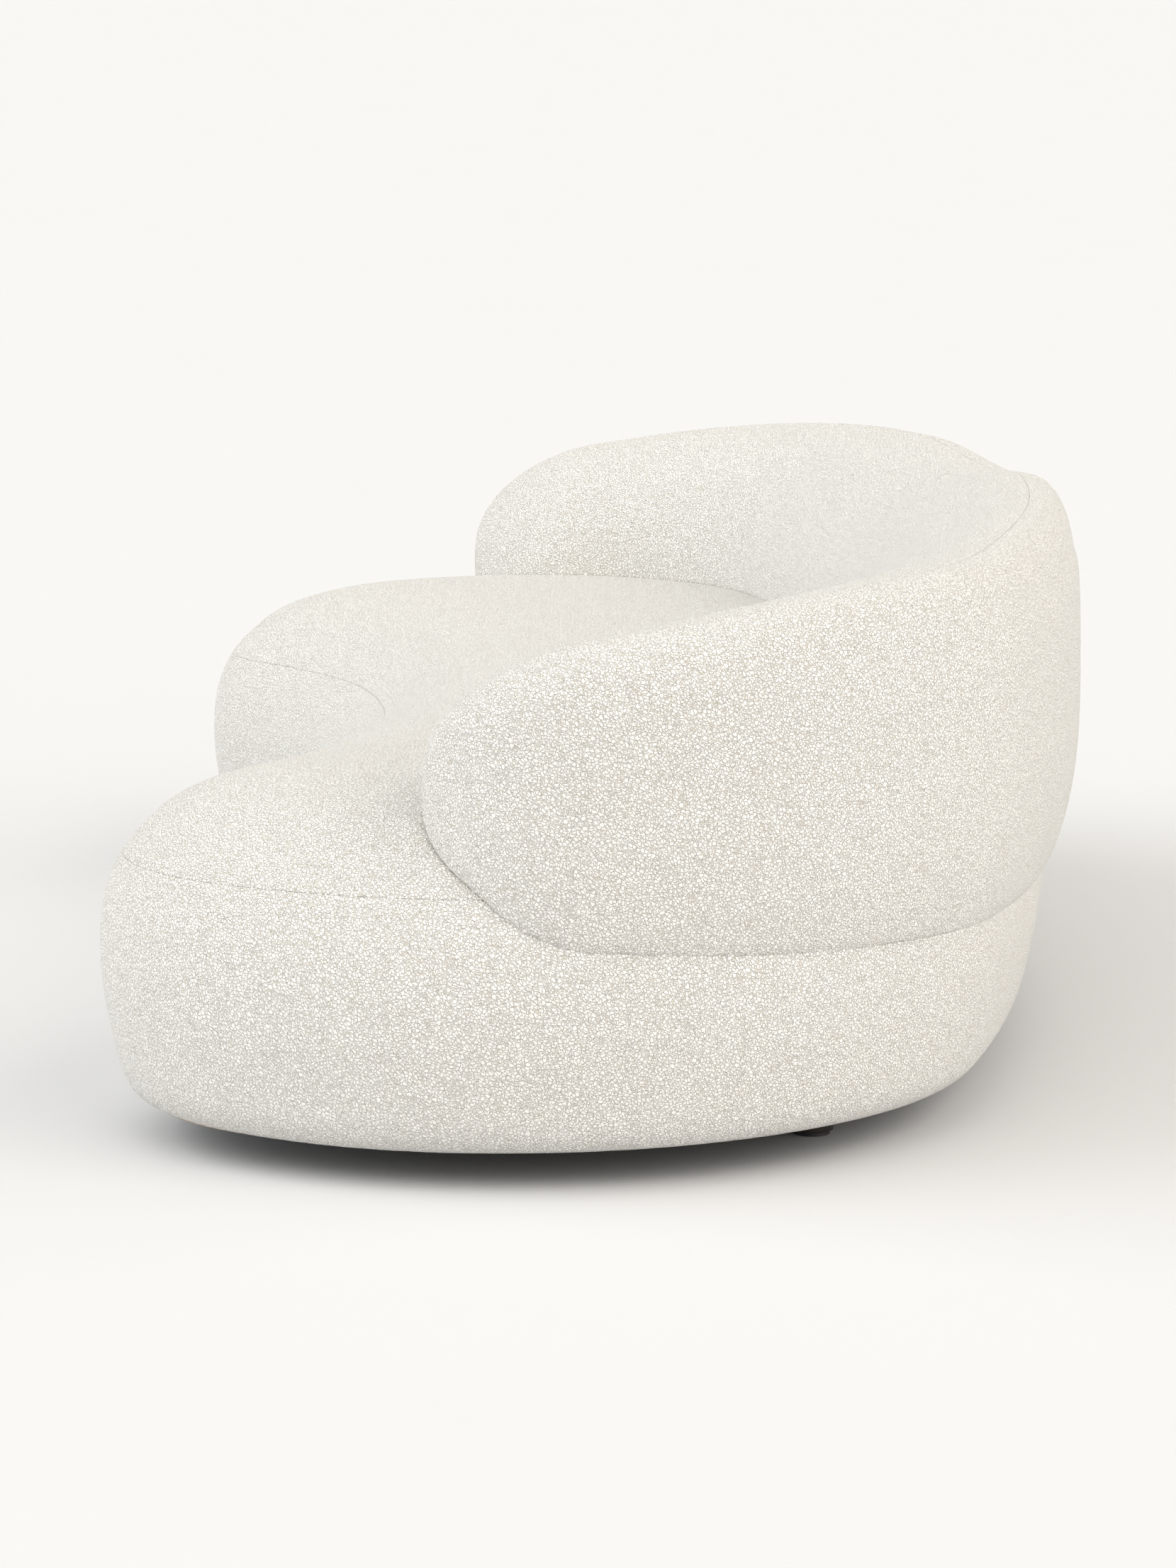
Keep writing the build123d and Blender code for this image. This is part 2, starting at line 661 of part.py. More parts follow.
# ---------------------------------------------------------------- feet
def foot(x, y):
    """Low turned foot with a rounded lower edge and a blind hole for its bolt."""
    bottom = GLIDE_HEIGHT
    height = FOOT_TOP_Z - bottom
    outline = Polyline(
        (0, 0),
        (FOOT_BOTTOM_RADIUS, 0),
        (FOOT_TOP_RADIUS, height),
        (0, height),
        close=True,
    )
    body = revolve(Plane.XZ * make_face(outline), Axis.Z)
    body = fillet(body.edges().group_by(Axis.Z)[0], FOOT_ROUND)
    return Pos(x, y, bottom) * body - foot_bolt(x, y)


def foot_glides():
    return [upright(x, y, GLIDE_RADIUS, 0, GLIDE_HEIGHT) for x, y in FOOT_PLACES]


# ---------------------------------------------------------------- backrest frame
def back_rail(bottom):
    return back_band(RAIL_INSET, INNER_PANEL_INSET, bottom, bottom + PLY, FRAME_END_GAP)


def back_post(distance, sign):
    arc, angle = back_place(distance)
    if sign < 0:
        arc, angle = arc.mirrored(), 180 - angle
    depth = RAIL_WIDTH - 2 * POST_GAP
    return block_at(arc, angle, RAIL_INSET + POST_GAP, depth, BATTEN, BOTTOM_RAIL_TOP, TOP_RAIL_Z)


def back_outer_panel():
    """Bent sheet on the outside of the rails, which runs on down as a skirt under the foam."""
    sheet = back_band(OUTER_PANEL_INSET, RAIL_INSET, SKIRT_Z, TOP_RAIL_Z + PLY, FRAME_END_GAP)
    return sheet - SEAT_CLEAR


def back_inner_panel():
    inner = INNER_PANEL_INSET
    return back_band(inner, inner + SHEET, BOTTOM_RAIL_Z, TOP_RAIL_Z + PLY, FRAME_END_GAP)


def back_bottom_rail():
    return without(back_rail(BOTTOM_RAIL_Z), BACK_NUTS + BACK_BOLTS)


def spacer_blocks():
    return [without(block, BACK_BOLTS) for block in SPACER_HOLES]


# ---------------------------------------------------------------- backrest upholstery
def back_foam():
    """The foam round the backrest's frame, cut into a left, a middle and a right block."""
    inner = INNER_PANEL_INSET + SHEET
    hollow = back_band(OUTER_PANEL_INSET, inner, SKIRT_Z, TOP_RAIL_Z + PLY, FRAME_END_GAP)
    foam = back_body(FOAM_INSET) - hollow - SEAT_CLEAR
    middle = Box(2 * BACK_FOAM_CUT_X, SPACE, SPACE)
    side = Pos(BACK_FOAM_CUT_X + SPACE / 2, 0, 0) * Box(SPACE, SPACE, SPACE)
    return foam & mirror(side, Plane.YZ), foam & middle, foam & side


def back_wadding():
    return back_body(WADDING_INSET) - back_body(FOAM_INSET - CLEARANCE) - SEAT_CLEAR


def back_cover_outer():
    return back_panel(0) - SEAT_CLEAR + tip_disc(-1) + tip_disc(1)


def back_cover_inner():
    return back_panel(2) - SEAT_CLEAR


# ---------------------------------------------------------------- the assembly
def sofa():
    """Every node's name and shape."""
    foam_left, foam_centre, foam_right = back_foam()
    nodes = {
        "base_bottom_panel": base_bottom_panel(),
        "base_top_frame": base_top_frame(),
        "base_side_liner": base_side_liner(),
        "base_frame_screws": FRAME_SCREWS,
        "spring_clips": spring_clips(),
        "spring_felt": kidney_slab(FELT_INSET, FELT_Z, DECK_Z),
        "seat_foam": seat_foam(),
        "side_foam": side_foam(),
        "seat_wadding": seat_wadding(),
        "seat_cover_top": seat_cover_top(),
        "seat_cover_band": seat_cover_band(),
        "dust_cover": dust_cover(),
        "foot_glides": foot_glides(),
        "foot_bolts": FOOT_BOLTS,
        "foot_tee_nuts": FOOT_NUTS,
        "back_bottom_rail": back_bottom_rail(),
        "back_top_rail": back_rail(TOP_RAIL_Z),
        "back_inner_panel": back_inner_panel(),
        "back_outer_panel": back_outer_panel(),
        "back_foam_left": foam_left,
        "back_foam_centre": foam_centre,
        "back_foam_right": foam_right,
        "back_wadding": back_wadding(),
        "back_cover_inner": back_cover_inner(),
        "back_cover_outer": back_cover_outer(),
        "spacer_blocks": spacer_blocks(),
        "back_bolts": BACK_BOLTS,
        "back_tee_nuts": BACK_NUTS,
    }
    for number, (arc, angle) in enumerate(POST_PLACES, 1):
        nodes[f"base_post_{number}"] = base_post(arc, angle)
    for number, x in enumerate(CROSS_RAIL_X, 1):
        nodes[f"base_cross_rail_{number}"] = base_cross_rail(x)
    for number, x in enumerate(SPRING_X, 1):
        nodes[f"seat_spring_{number}"] = seat_spring(x)
    for number, (x, y) in enumerate(FOOT_PLACES, 1):
        nodes[f"foot_{number}"] = foot(x, y)
    back_posts = [(distance, sign) for sign in (-1, 1) for distance in BACK_POST_DISTANCES]
    for number, (distance, sign) in enumerate(back_posts, 1):
        nodes[f"back_post_{number}"] = back_post(distance, sign)
    return nodes


os.makedirs("parts", exist_ok=True)
for name, shape in sofa().items():
    if isinstance(shape, list):
        shape = Compound(children=[solid for piece in shape for solid in piece.solids()])
    export_step(shape, f"parts/{name}.step")
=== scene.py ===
import json
from math import asin, atan2, cos, pi, radians, sin, sqrt

import bmesh
import bpy
import numpy as np
from mathutils import Matrix, Vector
from mathutils.bvhtree import BVHTree


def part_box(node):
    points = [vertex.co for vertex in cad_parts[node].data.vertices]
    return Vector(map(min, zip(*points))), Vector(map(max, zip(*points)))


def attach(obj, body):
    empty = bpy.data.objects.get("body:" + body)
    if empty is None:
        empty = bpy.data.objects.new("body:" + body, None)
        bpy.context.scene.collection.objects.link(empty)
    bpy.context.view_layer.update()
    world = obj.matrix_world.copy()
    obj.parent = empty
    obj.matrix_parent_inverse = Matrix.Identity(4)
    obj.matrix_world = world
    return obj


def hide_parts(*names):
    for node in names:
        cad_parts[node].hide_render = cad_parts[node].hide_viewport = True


# The looks of a kidney-shaped lounge sofa in cream boucle.
# Metres; X along the sofa, +Y to the back, +Z up.
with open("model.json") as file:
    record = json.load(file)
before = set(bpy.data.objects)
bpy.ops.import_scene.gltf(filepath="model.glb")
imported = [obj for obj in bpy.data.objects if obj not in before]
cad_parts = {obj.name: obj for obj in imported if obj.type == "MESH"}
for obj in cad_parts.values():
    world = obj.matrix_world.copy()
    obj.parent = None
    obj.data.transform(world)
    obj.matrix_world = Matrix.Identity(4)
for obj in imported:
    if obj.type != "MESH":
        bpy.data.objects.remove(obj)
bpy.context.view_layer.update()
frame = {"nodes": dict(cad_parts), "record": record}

# ---------------------------------------------------------------- sizes, the same as in the CAD source
SEAT_HALF_LENGTH = 1.175
SEAT_FRONT_Y = -0.5715
SEAT_REAR_Y = 0.5325
SEAT_WAIST_Y = -0.338
SEAT_END_RADIUS = 0.566
SEAT_LOBE_RADIUS = 0.308
SEAT_LOBE_ANGLE = radians(-36)
SEAT_BOTTOM_Z = 0.0388
SEAT_BULGE_Z = 0.2165
SEAT_TOP_Z = 0.4147
SEAT_CROWN_REACH = 0.298
SEAT_SHOULDER_RADIUS = 0.180
SEAT_UNDERCUT_REACH = 0.070
SEAT_UNDERCUT_RADIUS = 0.048
LIP_INSET = 0.115

BACK_HALF_LENGTH = 1.195
BACK_REAR_Y = 0.5715
BACK_REAR_RADIUS = 2.734
BACK_CORNER_RADIUS = 0.562
BACK_ARM_RADIUS = 1.040
BACK_ARM_ANGLE = radians(10.4)
BACK_TIP_Y = -0.210
BACK_THICKNESS = 0.287
RIDGE_INSET = 0.064
RIDGE_Z = 0.645
RIDGE_DROP_REAR = 0.010
RIDGE_DROP_ARM = 0.086
BACK_BOTTOM_Z = 0.143
BACK_BOTTOM_RISE = 0.030
OUTER_BULGE_Z = 0.427
INNER_BULGE_Z = 0.362
OUTER_TOP_POWER = 3.6
INNER_TOP_POWER = 2.1
BACK_BOTTOM_POWER = 2.46
BOTTOM_RISE_START = 0.15
BOTTOM_RISE_LENGTH = 0.5
LOWEST_BULGE = 0.3
HIGHEST_OUTER_BULGE = 0.75
HIGHEST_INNER_BULGE = 0.7
TIP_Z = 0.420
TIP_TOP_POWER = 0.8
TIP_REACH_Z = 0.191
TIP_REACH_PLAN = 0.201

# ---------------------------------------------------------------- seams
SEAM_END_Z = 0.316  # height of the side band's seam at the sofa's ends and rear
SEAM_WAIST_Z = 0.345  # and at the waist
WAIST_SEAM_Y = -0.1  # the seam rises from here to the front
WAIST_SEAM_RUN = 0.25
WAIST_SEAM_REACH = 0.75  # and fades out along X over this length
SIDE_SEAM_DISTANCE = 1.058  # upright seam in the outer panel, along the outer face
RIDGE_SEAM_FADE = 0.15  # below the outer bulge the panels' split moves to the sole's middle
SEAM_DEPTH = 0.0006
SEAM_LINES = (0.0, 0.0008, 0.0026)  # distances from a seam at which its groove has points
SEAM_SHAPE = (1, 0.35, 0)  # share of the depth at each of these lines
SEAM_SNAP = 0.0003
ON_LINE = 2e-5

# ---------------------------------------------------------------- padding and cloth
COVER = 0.003
WADDING = 0.0045
WADDING_DEPTH = 0.0055  # of the wadding's face under the cover's face
WADDING_CLEAR = 0.016  # between the backrest's wadding and the seat
FRAME_EDGE = 0.057
SWELL = 0.004  # the most that the cloth simulation lets a form swell
SWELL_FADE = 0.08  # it swells less within this distance of a seam
WAVES = 0.0016  # height of the slow waves of hand-laid padding
TUCK = 0.003  # how far the backrest's outer edge turns in where it meets the seat
TUCK_FADE = 0.06
TUCK_LINES = (0.0008, 0.0045, 0.0110)  # clearances from the seat at which the tuck has points
SINK = 0.0015  # how far the backrest's inner edge presses into the seat
SAG = 0.018  # settled padding: drop of the top edge, its place and its half length
SAG_X = -0.36
SAG_REACH = 0.36
SEAT_VOXEL = 0.012
BACK_VOXEL = 0.010
FOAM_VOXEL = 0.012
FORM_SMOOTHING = 2
FOAM_SMOOTHING = 3
CLOTH_FRAMES = 20
CLOTH_PRESSURE = 4.0
DUST_CLOTH_INSET = 0.095
DUST_CLOTH_DROOP = 0.0015
FELT_INSET = 0.100
FELT_DROOP = 0.0010
SHEET_STEP = 0.03  # between the points round a flat sheet
SHEET_EDGE = 0.05  # longest edge inside it


# ---------------------------------------------------------------- plan outlines
class Arc:
    """Part of a circle in plan, in radians. A hollow arc has the material outside its circle."""

    def __init__(self, centre, radius, start, end, hollow=False):
        self.centre = centre
        self.radius = radius
        self.start = start
        self.end = end
        self.hollow = hollow

    def reach(self, inset):
        return self.radius + inset if self.hollow else self.radius - inset

    def points(self, inset, count):
        """Points along the line that lies inset inside the outline, without the last one."""
        turns = np.linspace(self.start, self.end, count, endpoint=False)
        if self.hollow:
            turns = np.linspace(self.end, self.start, count, endpoint=False)
        across = np.stack([np.cos(turns), np.sin(turns)], 1)
        return np.array(self.centre) + self.reach(inset) * across

    def mirrored(self):
        x, y = self.centre
        return Arc((-x, y), self.radius, pi - self.end, pi - self.start, self.hollow)


def heading(start, end):
    return atan2(end[1] - start[1], end[0] - start[0])


def seat_arcs():
    """The kidney as tangent arcs, anticlockwise from the right end of the waist."""
    step = SEAT_END_RADIUS - SEAT_LOBE_RADIUS
    end_x = SEAT_HALF_LENGTH - SEAT_END_RADIUS
    lobe_x = end_x + step * cos(SEAT_LOBE_ANGLE)
    lobe_y = SEAT_FRONT_Y + SEAT_LOBE_RADIUS
    end_y = lobe_y - step * sin(SEAT_LOBE_ANGLE)
    rise = end_y - SEAT_REAR_Y
    rear_radius = (SEAT_END_RADIUS**2 - end_x**2 - rise**2) / (2 * (rise + SEAT_END_RADIUS))
    depth = lobe_y - SEAT_WAIST_Y
    waist_radius = (lobe_x**2 + depth**2 - SEAT_LOBE_RADIUS**2) / (2 * (SEAT_LOBE_RADIUS - depth))
    rear_centre = (0, SEAT_REAR_Y - rear_radius)
    waist_centre = (0, SEAT_WAIST_Y - waist_radius)
    rear_turn = heading(rear_centre, (end_x, end_y))
    waist_turn = heading(waist_centre, (lobe_x, lobe_y))
    rear = Arc(rear_centre, rear_radius, rear_turn, pi - rear_turn)
    end = Arc((end_x, end_y), SEAT_END_RADIUS, SEAT_LOBE_ANGLE, rear_turn)
    lobe = Arc((lobe_x, lobe_y), SEAT_LOBE_RADIUS, waist_turn - pi, SEAT_LOBE_ANGLE)
    waist = Arc(waist_centre, waist_radius, waist_turn, pi - waist_turn, hollow=True)
    return [lobe, end, rear, end.mirrored(), lobe.mirrored(), waist]


SEAT_ARCS = seat_arcs()


def kidney_line(inset, step=0.014):
    """Points round the seat plan, inset inside its outline; every inset has as many points."""
    parts = []
    for arc in SEAT_ARCS:
        count = max(4, round(arc.radius * (arc.end - arc.start) / step))
        parts.append(arc.points(inset, count))
    return np.concatenate(parts)


def far_radius(near_reach, far_reach, near_radius):
    return (near_reach**2 + far_reach**2 - 2 * near_reach * near_radius) / (2 * (far_reach - near_radius))


def seat_profile():
    """(distance inside the plan, z) down the seat's edge, from the crown to the sole."""
    crown_height = SEAT_TOP_Z - SEAT_BULGE_Z
    low_height = SEAT_BULGE_Z - SEAT_BOTTOM_Z
    crown_radius = far_radius(SEAT_CROWN_REACH, crown_height, SEAT_SHOULDER_RADIUS)
    side_radius = far_radius(low_height, SEAT_UNDERCUT_REACH, SEAT_UNDERCUT_RADIUS)
    crown_turn = atan2(crown_radius - crown_height, SEAT_CROWN_REACH - SEAT_SHOULDER_RADIUS)
    side_turn = atan2(low_height - SEAT_UNDERCUT_RADIUS, side_radius - SEAT_UNDERCUT_REACH)
    undercut_z = SEAT_BOTTOM_Z + SEAT_UNDERCUT_RADIUS
    arcs = [
        ((SEAT_CROWN_REACH, SEAT_TOP_Z - crown_radius), crown_radius, pi / 2, crown_turn, 16),
        ((SEAT_SHOULDER_RADIUS, SEAT_BULGE_Z), SEAT_SHOULDER_RADIUS, crown_turn, 0, 14),
        ((side_radius, SEAT_BULGE_Z), side_radius, 0, -side_turn, 12),
        ((SEAT_UNDERCUT_REACH, undercut_z), SEAT_UNDERCUT_RADIUS, -side_turn, -pi / 2, 8),
    ]
    points = []
    for (x, z), radius, start, end, count in arcs:
        for turn in np.linspace(start, end, count, endpoint=False):
            points.append((x - radius * cos(turn), z + radius * sin(turn)))
    points.append((SEAT_UNDERCUT_REACH, SEAT_BOTTOM_Z))
    return points


# ---------------------------------------------------------------- the backrest's path and section
def back_arcs():
    """Outer face of the backrest in plan, from the middle of the rear to the right arm's tip."""
    step = BACK_CORNER_RADIUS - BACK_ARM_RADIUS
    arm_x = BACK_HALF_LENGTH - BACK_ARM_RADIUS
    corner_x = arm_x - step * cos(BACK_ARM_ANGLE)
    rear_y = BACK_REAR_Y - BACK_REAR_RADIUS
    corner_y = rear_y + sqrt((BACK_REAR_RADIUS - BACK_CORNER_RADIUS)**2 - corner_x**2)
    arm_y = corner_y + step * sin(BACK_ARM_ANGLE)
    corner_turn = heading((0, rear_y), (corner_x, corner_y))
    tip_turn = asin((BACK_TIP_Y - arm_y) / BACK_ARM_RADIUS)
    rear = Arc((0, rear_y), BACK_REAR_RADIUS, corner_turn, pi / 2)
    corner = Arc((corner_x, corner_y), BACK_CORNER_RADIUS, BACK_ARM_ANGLE, corner_turn)
    arm = Arc((arm_x, arm_y), BACK_ARM_RADIUS, tip_turn, BACK_ARM_ANGLE)
    return [rear, corner, arm]


BACK_ARCS = back_arcs()
BACK_LENGTHS = [arc.radius * (arc.end - arc.start) for arc in BACK_ARCS]
BACK_LENGTH = sum(BACK_LENGTHS)


def back_place(distance):
    """Point and outward direction on the outer face, at a distance from the middle of the rear."""
    for arc, length in zip(BACK_ARCS, BACK_LENGTHS):
        if distance <= length or arc is BACK_ARCS[-1]:
            turn = arc.end - distance / arc.radius
            outward = np.array([cos(turn), sin(turn)])
            return np.array(arc.centre) + arc.radius * outward, outward
        distance -= length


def back_coordinates(places):
    """(distance along the outer face, depth inside it) of many points, either side alike."""
    x, y = np.abs(places[:, 0]), places[:, 1]
    along = np.zeros(len(places))
    depth = np.zeros(len(places))
    before = 0.0
    for arc, length in zip(BACK_ARCS, BACK_LENGTHS):
        turn = np.arctan2(y - arc.centre[1], x - arc.centre[0])
        here = turn <= arc.end + 1e-9
        along[here] = (before + (arc.end - turn) * arc.radius)[here]
        depth[here] = (arc.radius - np.hypot(x - arc.centre[0], y - arc.centre[1]))[here]
        before += length
    return along, depth


def rounding(gap, reach):
    """Share of the full size that is left at a gap from the rounded tip."""
    return np.sqrt(np.clip(1 - np.clip(1 - gap / reach, 0, None)**2, 0, None))


def ridge_inset(along):
    """Depth of the ridge seam inside the outer face."""
    middle = BACK_THICKNESS / 2
    return middle - (middle - RIDGE_INSET) * rounding(BACK_LENGTH - along, TIP_REACH_PLAN)


def quarter(centre, reach, power, count=22):
    """A superellipse quarter, from its side point to its top or bottom point."""
    turns = np.linspace(0, pi / 2, count)
    across = np.round(np.cos(turns), 9)**(2 / power)
    up = np.sin(turns)**(2 / power)
    return np.stack([centre[0] + reach[0] * across, centre[1] + reach[1] * up], 1)


def back_section(distance):
    """Closed section of the backrest: (depth inside the outer face, z) round from the sole."""
    gap = BACK_LENGTH - distance
    share_z = rounding(gap, TIP_REACH_Z)
    rear = BACK_LENGTHS[0]
    ridge = RIDGE_Z - RIDGE_DROP_REAR * min(1, distance / rear)**2
    ridge -= RIDGE_DROP_ARM * max(0, (distance - rear) / (BACK_LENGTH - rear))**2
    rise = min(1, max(0, (distance / BACK_LENGTH - BOTTOM_RISE_START) / BOTTOM_RISE_LENGTH))
    top = TIP_Z + (ridge - TIP_Z) * share_z**TIP_TOP_POWER
    bottom = TIP_Z - (TIP_Z - BACK_BOTTOM_Z - BACK_BOTTOM_RISE * rise) * share_z
    span = top - bottom
    lowest = bottom + LOWEST_BULGE * span
    outer_z = min(max(OUTER_BULGE_Z, lowest), bottom + HIGHEST_OUTER_BULGE * span)
    inner_z = min(max(INNER_BULGE_Z, lowest), bottom + HIGHEST_INNER_BULGE * span)
    middle = BACK_THICKNESS / 2
    half = middle * rounding(gap, TIP_REACH_PLAN)
    ridge_x = ridge_inset(distance)
    outer_low = quarter((middle, outer_z), (-half, bottom - outer_z), BACK_BOTTOM_POWER)
    outer_top = quarter((ridge_x, outer_z), (middle - half - ridge_x, top - outer_z), OUTER_TOP_POWER)
    inner_top = quarter((ridge_x, inner_z), (middle + half - ridge_x, top - inner_z), INNER_TOP_POWER)
    inner_low = quarter((middle, inner_z), (half, bottom - inner_z), BACK_BOTTOM_POWER)
    parts = (outer_low[::-1], outer_top, inner_top[::-1], inner_low)
    return np.concatenate([part[:-1] for part in parts])


# ---------------------------------------------------------------- mesh helpers
def link(name, mesh):
    piece = bpy.data.objects.new(name, mesh)
    bpy.context.scene.collection.objects.link(piece)
    return piece


def tube(name, rings):
    """Closed mesh through rings of points, with an n-gon over the first and the last."""
    count = len(rings[0])
    steps = np.arange(count)
    faces = []
    for ring in range(len(rings) - 1):
        low, high = ring * count + steps, (ring + 1) * count + steps
        faces += np.stack([low, np.roll(low, -1), np.roll(high, -1), high], 1).tolist()
    last = (len(rings) - 1) * count
    faces += [steps[::-1].tolist(), (last + steps).tolist()]
    mesh = bpy.data.meshes.new(name)
    mesh.from_pydata(np.concatenate(rings).tolist(), [], faces)
    piece = link(name, mesh)
    bm = bmesh.new()
    bm.from_mesh(mesh)
    bmesh.ops.recalc_face_normals(bm, faces=bm.faces)
    bm.to_mesh(mesh)
    bm.free()
    return piece


def coordinates(mesh):
    flat = np.zeros(len(mesh.vertices) * 3, np.float32)
    mesh.vertices.foreach_get("co", flat)
    return flat.reshape(-1, 3).astype(float)


def normals(mesh):
    flat = np.zeros(len(mesh.vertices) * 3, np.float32)
    mesh.vertex_normals.foreach_get("vector", flat)
    return flat.reshape(-1, 3).astype(float)


def move(mesh, places):
    mesh.vertices.foreach_set("co", places.astype(np.float32).ravel())
    mesh.update()


def settle(piece):
    """Applies the piece's modifiers, so that their result is its mesh."""
    graph = bpy.context.evaluated_depsgraph_get()
    made = bpy.data.meshes.new_from_object(piece.evaluated_get(graph), depsgraph=graph)
    piece.modifiers.clear()
    piece.data = made
    return piece


def remeshed(piece, voxel):
    modifier = piece.modifiers.new("Remesh", "REMESH")
    modifier.mode = "VOXEL"
    modifier.voxel_size = voxel
    return settle(piece)


def smoothed(piece, rounds):
    modifier = piece.modifiers.new("Smooth", "SMOOTH")
    modifier.factor = 0.5
    modifier.iterations = rounds
    return settle(piece)


def tree_of(piece):
    mesh = piece.data
    faces = [tuple(face.vertices) for face in mesh.polygons]
    return BVHTree.FromPolygons(coordinates(mesh).tolist(), faces)


def inflated(piece, limits):
    """Swells a closed mesh by a short cloth simulation; limits is how far each point may move out."""
    rest = coordinates(piece.data)
    facing = normals(piece.data)
    scene = bpy.context.scene
    modifier = piece.modifiers.new("Cloth", "CLOTH")
    cloth = modifier.settings
    cloth.quality = 4
    cloth.use_pressure = True
    cloth.uniform_pressure_force = CLOTH_PRESSURE
    cloth.effector_weights.gravity = 0
    modifier.collision_settings.use_collision = False
    modifier.point_cache.frame_end = CLOTH_FRAMES
    for number in range(1, CLOTH_FRAMES + 1):
        scene.frame_set(number)
    settle(piece)
    scene.frame_set(1)
    moved = coordinates(piece.data) - rest
    outward = np.clip(((moved - moved.mean(0)) * facing).sum(1), 0, limits)
    move(piece.data, rest + facing * outward[:, None])
    return piece


def clearance_from(neighbour):
    """Field: the distance of a point outside the neighbour's surface, negative inside it."""
    tree = tree_of(neighbour)

    def field(places):
        values = np.empty(len(places))
        for index, place in enumerate(places):
            near, normal, _, distance = tree.find_nearest(place)
            values[index] = distance if (Vector(place) - near).dot(normal) > 0 else -distance
        return values

    return field


# ---------------------------------------------------------------- seams
def snapped(places, field, level, reach):
    """Moves the points that lie nearly on a line of the field onto it, so that no sliver is cut."""
    step = 1e-4
    value = field(places) - level
    near = np.abs(value) < reach
    slope = np.zeros((near.sum(), 3))
    for axis in range(3):
        ahead = places[near].copy()
        ahead[:, axis] += step
        slope[:, axis] = (field(ahead) - level - value[near]) / step
    steep = (slope**2).sum(1)
    places = places.copy()
    places[near] -= slope * (value[near] / np.maximum(steep, 1e-6))[:, None]
    return places


def cut_line(bm, field, level):
    """Splits the faces along the line where the field equals the level."""
    places = np.array([vert.co for vert in bm.verts])
    value = field(places) - level
    value[np.abs(value) < ON_LINE] = 0
    bm.verts.index_update()
    on_line = [vert for vert in bm.verts if value[vert.index] == 0]
    for edge in list(bm.edges):
        first, second = edge.verts
        a, b = value[first.index], value[second.index]
        if a * b < 0:
            _, vert = bmesh.utils.edge_split(edge, first, a / (a - b))
            on_line.append(vert)
            vert.index = -1
    bmesh.ops.connect_verts(bm, verts=on_line)
    bm.verts.ensure_lookup_table()


def groove(piece, field):
    """Draws the fabric in along the line where the field is zero, as a sewn seam does."""
    mesh = piece.data
    for side in (-1, 1):
        for line in SEAM_LINES:
            if line or side > 0:
                move(mesh, snapped(coordinates(mesh), field, side * line, SEAM_SNAP))
    bm = bmesh.new()
    bm.from_mesh(mesh)
    for line in SEAM_LINES:
        for side in ((1,) if line == 0 else (-1, 1)):
            cut_line(bm, field, side * line)
    bm.to_mesh(mesh)
    bm.free()
    places = coordinates(mesh)
    distance = np.abs(field(places))
    depth = SEAM_DEPTH * np.interp(distance, SEAM_LINES, SEAM_SHAPE)
    move(mesh, places - normals(mesh) * depth[:, None])


def keep_faces(mesh, chosen):
    """Deletes the faces for which chosen(centres) is false."""
    bm = bmesh.new()
    bm.from_mesh(mesh)
    keep = chosen(np.array([face.calc_center_median() for face in bm.faces]))
    unwanted = [face for face, kept in zip(list(bm.faces), keep) if not kept]
    bmesh.ops.delete(bm, geom=unwanted, context="FACES")
    bm.to_mesh(mesh)
    bm.free()


def tucked(piece, neighbour):
    """Opens the piece where it rests on a neighbour.

    The outer side's edge turns in, away from the neighbour; the inner side's sinks a little into it.
    """
    mesh = piece.data
    field = clearance_from(neighbour)
    bm = bmesh.new()
    bm.from_mesh(mesh)
    for line in (-SINK, *TUCK_LINES):
        cut_line(bm, field, line)
    bm.to_mesh(mesh)
    bm.free()
    keep_faces(mesh, lambda centres: field(centres) > np.where(
        ridge_seam(centres) > TUCK_FADE, -SINK, TUCK_LINES[0]))
    places = coordinates(mesh)
    share = np.clip((TUCK_LINES[-1] - field(places)) / (TUCK_LINES[-1] - TUCK_LINES[0]), 0, 1)
    outer = np.clip(1 - ridge_seam(places) / TUCK_FADE, 0, 1)
    move(mesh, places - normals(mesh) * (TUCK * outer * share**2)[:, None])


def panel(name, whole, chosen):
    """Copy of the faces of a closed mesh for which chosen(centres) is true."""
    mesh = whole.data.copy()
    mesh.name = name
    piece = link(name, mesh)
    keep_faces(mesh, chosen)
    mesh.shade_smooth()
    return piece


def thickened(piece, thickness=COVER):
    modifier = piece.modifiers.new("Thickness", "SOLIDIFY")
    modifier.thickness = thickness
    modifier.offset = -1
    return settle(piece)


def wadding_layer(name, whole, chosen):
    """Lofty wadding just inside a cover: the part of its closed form that chosen(centres) keeps."""
    piece = panel(name, whole, chosen)
    places = coordinates(piece.data)
    depth = WADDING_DEPTH + undulation(places * 6, 0.0003)
    move(piece.data, places - normals(piece.data) * depth[:, None])
    return thickened(piece, WADDING)


# ---------------------------------------------------------------- the seat upholstery
def seat_inset(places):
    """Distance of points inside the seat's plan outline."""
    inset = np.full(len(places), np.inf)
    for arc in SEAT_ARCS:
        x, y = places[:, 0] - arc.centre[0], places[:, 1] - arc.centre[1]
        turn = np.arctan2(y, x)
        middle = (arc.start + arc.end) / 2
        off = (turn - middle + pi) % (2 * pi) - pi
        here = np.abs(off) <= (arc.end - arc.start) / 2 + 1e-6
        distance = arc.radius - np.hypot(x, y)
        distance = -distance if arc.hollow else distance
        inset[here] = np.minimum(inset[here], distance[here])
    return inset


